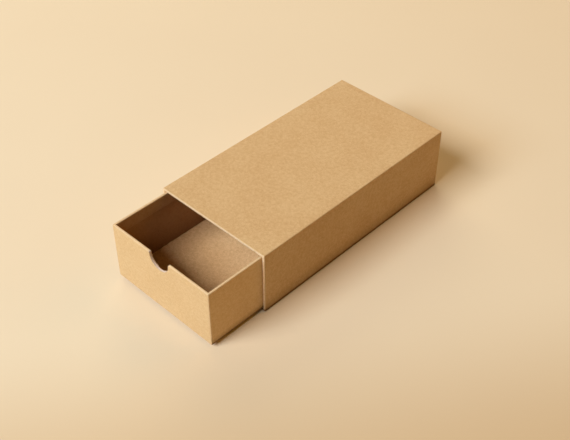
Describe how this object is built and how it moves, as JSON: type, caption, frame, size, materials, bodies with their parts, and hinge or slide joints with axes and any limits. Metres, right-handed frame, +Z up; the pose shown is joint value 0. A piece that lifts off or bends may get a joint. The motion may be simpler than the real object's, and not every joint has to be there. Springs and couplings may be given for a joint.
{
  "type": "paper box",
  "caption": "Rigid kraft drawer box for papers and keepsakes: a board sleeve with a closed back, and a wrapped tray with a thumb notch that slides out of its front.",
  "frame": {"origin": "middle of the sleeve's underside, on the surface that the box stands on", "axes": "+Z up; +Y along the sleeve towards its closed back, so the tray comes out towards -Y; +X to the right seen from the tray's front"},
  "size_m": [0.116, 0.2735, 0.0605],
  "materials": {
    "kraft_wrap": "uncoated brown kraft paper, matte, fine fibre",
    "kraft_lining": "uncoated kraft lining paper, a little greyer and darker than the outside",
    "greyboard": "dense grey-white board with fine plies at a cut edge",
    "stay_tape": "gummed paper tape"
  },
  "bodies": {
    "sleeve": {"sleeve_base_board": "greyboard", "sleeve_top_board": "greyboard", "sleeve_left_board": "greyboard", "sleeve_right_board": "greyboard", "sleeve_back_board": "greyboard", "sleeve_corner_stays": "stay_tape", "sleeve_wrap": "kraft_wrap", "sleeve_back_paper": "kraft_wrap", "sleeve_base_paper": "kraft_wrap", "sleeve_tube_lining": "kraft_lining", "sleeve_back_lining": "kraft_lining"},
    "tray": {"tray_base_board": "greyboard", "tray_front_board": "greyboard", "tray_back_board": "greyboard", "tray_left_board": "greyboard", "tray_right_board": "greyboard", "tray_corner_stays": "stay_tape", "tray_wrap": "kraft_wrap", "tray_wall_lining": "kraft_lining", "tray_floor_lining": "kraft_lining"}
  },
  "joints": [
    {"name": "tray_slide", "type": "slide", "parent": "sleeve", "child": "tray", "axis": [0, -1, 0], "range_m": [-0.0545, 0.162]}
  ]
}
